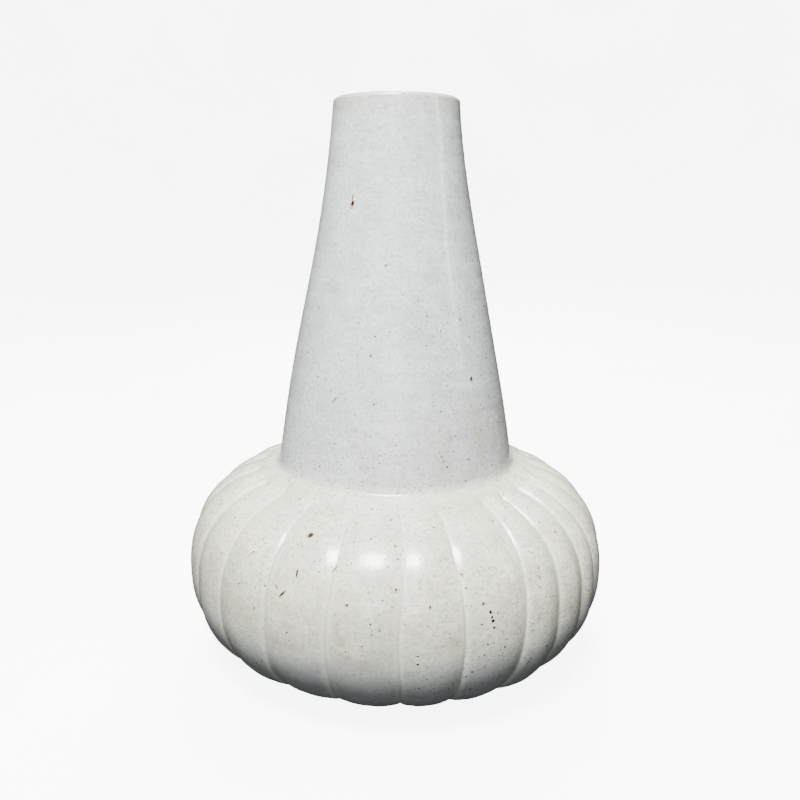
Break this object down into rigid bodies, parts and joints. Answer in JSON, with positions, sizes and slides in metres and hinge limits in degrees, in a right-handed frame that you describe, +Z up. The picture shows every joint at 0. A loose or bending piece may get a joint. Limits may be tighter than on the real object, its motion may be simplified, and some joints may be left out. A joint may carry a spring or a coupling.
{
  "type": "flower vase",
  "caption": "Tall-necked glazed stoneware flower vase: a squat belly fluted like a pumpkin, under a long neck that tapers to a small round mouth.",
  "frame": {"origin": "on the surface the vase stands on, under the vase's axis", "axes": "+Z up along the vase's axis, -Y towards the front"},
  "size_m": [0.3093, 0.3087, 0.4],
  "materials": {
    "warm_white_glaze": "semi-gloss off-white glaze with fine iron specks and faint brown stains",
    "cool_white_glaze": "semi-gloss blue-grey white glaze with fine iron specks",
    "bare_stoneware": "matt unglazed stoneware with grog"
  },
  "bodies": {
    "root": {"foot_ring": "bare_stoneware", "belly_lower": "warm_white_glaze", "belly_upper": "warm_white_glaze", "luting_coil": "warm_white_glaze", "neck": "cool_white_glaze"}
  },
  "joints": []
}
